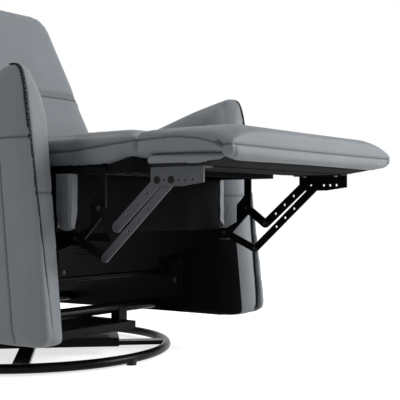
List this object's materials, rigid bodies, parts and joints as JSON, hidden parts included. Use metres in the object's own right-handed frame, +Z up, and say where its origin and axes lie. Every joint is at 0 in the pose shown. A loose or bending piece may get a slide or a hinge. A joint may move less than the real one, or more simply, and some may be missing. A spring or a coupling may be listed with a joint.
{
  "type": "swivel recliner",
  "caption": "Grey leather swivel recliner on a floor ring, with padded arms, leaning back, sliding seat and a leg rest that folds out on steel links.",
  "frame": {"origin": "on the floor on the swivel axis", "axes": "the chair faces -Y, +X is the sitter's left, +Z is up"},
  "size_m": [0.696, 1.1143, 0.8438],
  "materials": {
    "grey_leather": "satin",
    "black_cloth": "matte",
    "black_steel": "satin",
    "bright_steel": "satin",
    "timber": "matte",
    "black_plastic": "matte"
  },
  "bodies": {
    "base": {"base_ring": "black_steel", "glide_feet": "black_plastic", "base_cross": "black_steel", "base_plate": "black_steel", "bearing_balls": "bright_steel", "king_pin": "black_steel"},
    "chassis": {"swivel_plate": "black_steel", "frame_bar_left": "black_steel", "frame_bar_right": "black_steel", "frame_bar_front": "black_steel", "base_tube_front": "black_steel", "base_tube_rear": "black_steel", "saddle_brackets": "black_steel", "arm_board_left": "timber", "arm_board_right": "timber", "arm_left": "grey_leather", "arm_right": "grey_leather", "arm_zips": "bright_steel", "side_plate_left": "black_steel", "side_plate_right": "black_steel", "arm_bolts": "bright_steel", "slide_channel_left": "black_steel", "slide_channel_right": "black_steel"},
    "seat": {"seat_plate_left": "black_steel", "seat_plate_right": "black_steel", "pivot_pins": "bright_steel", "cross_rod": "black_steel", "seat_rail_left": "timber", "seat_rail_right": "timber", "seat_rail_front": "timber", "seat_rail_rear": "timber", "seat_springs": "bright_steel", "seat_cushion": "grey_leather", "front_curtain": "black_cloth", "side_flap_left": "grey_leather", "side_flap_right": "grey_leather"},
    "backrest": {"lumbar_cushion": "grey_leather", "head_cushion": "grey_leather", "back_frame": "timber", "back_panel": "grey_leather", "back_bracket_left": "black_steel", "back_bracket_right": "black_steel"},
    "legrest": {"legrest_board": "grey_leather", "legrest_pad": "grey_leather", "legrest_bracket_left": "black_steel", "legrest_bracket_right": "black_steel", "legrest_screws": "bright_steel", "legrest_cover": "black_cloth", "bracket_rivets": "bright_steel"},
    "crank_rear": {"crank_rear_left": "black_steel", "crank_rear_right": "black_steel", "crank_rear_rivets": "bright_steel"},
    "crank_front": {"crank_front_left": "black_steel", "crank_front_right": "black_steel", "crank_front_rivets": "bright_steel"},
    "link_rear": {"link_rear_left": "black_steel", "link_rear_right": "black_steel"},
    "link_front": {"link_front_left": "black_steel", "link_front_right": "black_steel"}
  },
  "joints": [
    {"name": "swivel", "type": "hinge", "parent": "base", "child": "chassis", "pos_m": [0, 0, 0.035], "axis": [0, 0, 1], "continuous": true},
    {"name": "seat_slide", "type": "slide", "parent": "chassis", "child": "seat", "axis": [0, 1, 0], "range_m": [-0.0365, 0.1205]},
    {"name": "backrest_recline", "type": "hinge", "parent": "seat", "child": "backrest", "pos_m": [0, 0.08614, 0.40946], "axis": [1, 0, 0], "range_deg": [-6, 20]},
    {"name": "legrest_fold", "type": "hinge", "parent": "seat", "child": "legrest", "pos_m": [0, -0.552, 0.414], "axis": [1, 0, 0], "range_deg": [0, 85]},
    {"name": "crank_rear_turn", "type": "hinge", "parent": "seat", "child": "crank_rear", "pos_m": [0, -0.454, 0.332], "axis": [1, 0, 0], "range_deg": [-0.5, 85.5]},
    {"name": "crank_front_turn", "type": "hinge", "parent": "seat", "child": "crank_front", "pos_m": [0, -0.395, 0.276], "axis": [1, 0, 0], "range_deg": [-0.5, 85.5]},
    {"name": "link_rear_turn", "type": "hinge", "parent": "crank_rear", "child": "link_rear", "pos_m": [0, -0.502, 0.298], "axis": [1, 0, 0], "range_deg": [-85.5, 0.5]},
    {"name": "link_front_turn", "type": "hinge", "parent": "crank_front", "child": "link_front", "pos_m": [0, -0.474, 0.242], "axis": [1, 0, 0], "range_deg": [-85.5, 0.5]}
  ],
  "couplings": [
    {"joint": "seat_slide", "follows": "backrest_recline", "m_per_rad": 0.34377},
    {"joint": "crank_rear_turn", "follows": "legrest_fold", "ratio": 1},
    {"joint": "crank_front_turn", "follows": "legrest_fold", "ratio": 1},
    {"joint": "link_rear_turn", "follows": "legrest_fold", "ratio": -1},
    {"joint": "link_front_turn", "follows": "legrest_fold", "ratio": -1}
  ]
}
